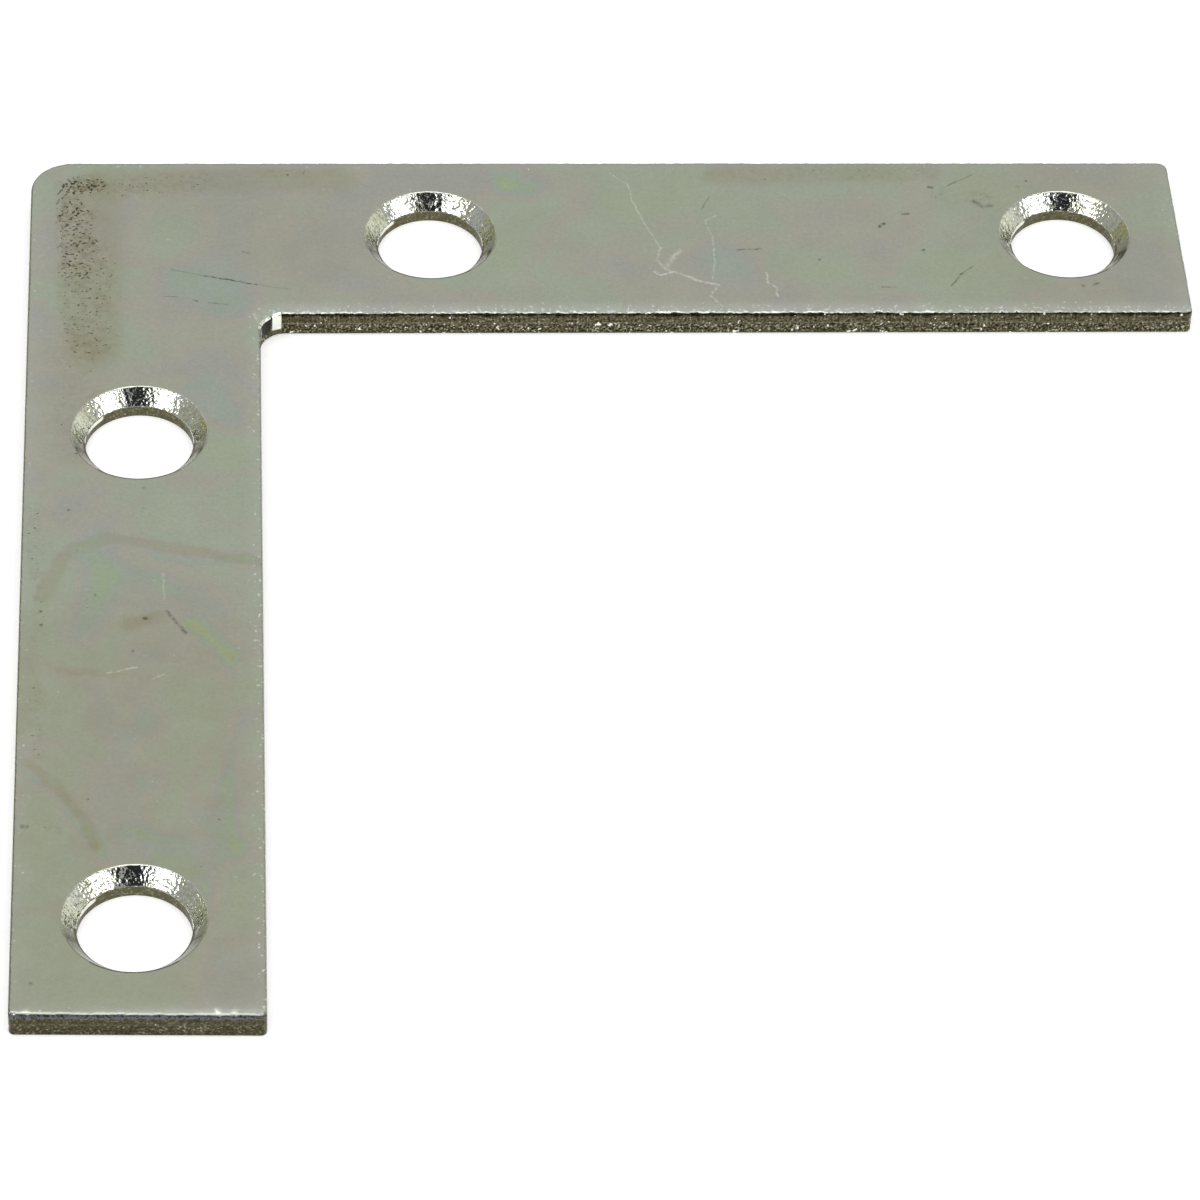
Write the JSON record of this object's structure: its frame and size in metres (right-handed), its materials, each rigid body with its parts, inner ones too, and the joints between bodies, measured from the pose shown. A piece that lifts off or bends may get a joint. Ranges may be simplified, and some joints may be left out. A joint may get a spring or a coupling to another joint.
{
  "type": "flat corner brace",
  "caption": "Flat L-shaped steel plate with two countersunk screw holes in each arm, screwed over a corner joint to hold it square.",
  "frame": {"origin": "centre of the square that the two arms span, on the back face", "axes": "+Z out of the countersunk front face; the heel is at -X +Y, one arm runs from it along +X and the other along -Y"},
  "size_m": [0.0636, 0.0636, 0.0015],
  "materials": {
    "zinc_plated_steel": "bright zinc plating with a thin clear passivate, dulled and scuffed, over blanked sheet steel"
  },
  "bodies": {
    "root": {"corner_plate": "zinc_plated_steel"}
  },
  "joints": []
}
